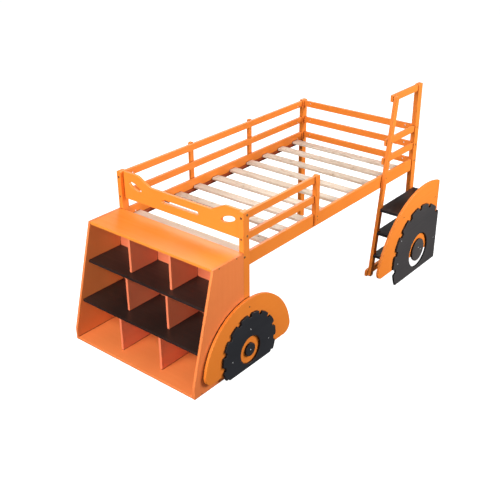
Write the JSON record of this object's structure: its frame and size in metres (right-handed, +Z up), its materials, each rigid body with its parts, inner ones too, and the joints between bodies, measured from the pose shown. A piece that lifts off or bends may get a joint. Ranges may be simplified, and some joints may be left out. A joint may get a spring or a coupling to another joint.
{
  "type": "children's low loft bed",
  "caption": "Twin low loft bed shaped as a construction vehicle: guard rails, slatted deck, sloping cubby bookcase, open steps under a cab frame, and fixed decorative wheels.",
  "frame": {"origin": "centre of the bed's footprint box, on the floor", "axes": "+X from the bookcase end to the step end (the longest way), +Y away from the steps towards the wall side, +Z up"},
  "size_m": [2.529, 1.301, 1.352],
  "materials": {
    "orange_paint": "satin orange paint over wood",
    "orange_panel": "satin orange paint over thin board",
    "black_paint": "satin black paint over board",
    "black_shelf": "satin black paint over board",
    "pine": "bare pale pine",
    "dark_steel": "dark bronzed bolt and screw heads",
    "nut_steel": "dull plated barrel nuts"
  },
  "bodies": {
    "root": {"head_post_near": "orange_paint", "head_post_far": "orange_paint", "foot_post_near": "orange_paint", "foot_post_far": "orange_paint", "headboard_panel": "orange_paint", "head_low_rail": "orange_paint", "side_rail_near": "orange_paint", "side_rail_far": "orange_paint", "guard_rail_near_top": "orange_paint", "guard_rail_near_mid": "orange_paint", "guard_post_near": "orange_paint", "guard_rail_far_top": "orange_paint", "guard_rail_far_mid": "orange_paint", "guard_post_far_1": "orange_paint", "guard_post_far_2": "orange_paint", "foot_rail_top": "orange_paint", "foot_rail_mid": "orange_paint", "foot_rail_low": "orange_paint", "cab_leaning_post": "orange_paint", "cab_crossbar": "orange_paint", "cab_rail_top": "orange_paint", "cab_rail_mid": "orange_paint", "cab_floor_stretcher": "orange_paint", "foot_fender": "orange_paint", "head_fender": "orange_paint", "bookcase_side_near": "orange_paint", "bookcase_side_far": "orange_paint", "bookcase_top": "orange_paint", "bookcase_bottom": "orange_paint", "slat_ledge_near": "orange_paint", "slat_ledge_far": "orange_paint", "bookcase_back": "orange_panel", "divider_bottom_near": "orange_panel", "divider_bottom_far": "orange_panel", "divider_middle_near": "orange_panel", "divider_middle_far": "orange_panel", "divider_top_near": "orange_panel", "divider_top_far": "orange_panel", "tread_top": "black_paint", "tread_middle": "black_paint", "tread_bottom": "black_paint", "foot_wheel": "black_paint", "foot_hub": "black_paint", "head_wheel": "black_paint", "head_hub": "black_paint", "shelf_upper": "black_shelf", "shelf_lower": "black_shelf", "slat_01": "pine", "slat_02": "pine", "slat_03": "pine", "slat_04": "pine", "slat_05": "pine", "slat_06": "pine", "slat_07": "pine", "slat_08": "pine", "slat_09": "pine", "slat_10": "pine", "frame_bolts": "dark_steel", "panel_screws": "dark_steel", "barrel_nuts": "nut_steel"}
  },
  "joints": []
}
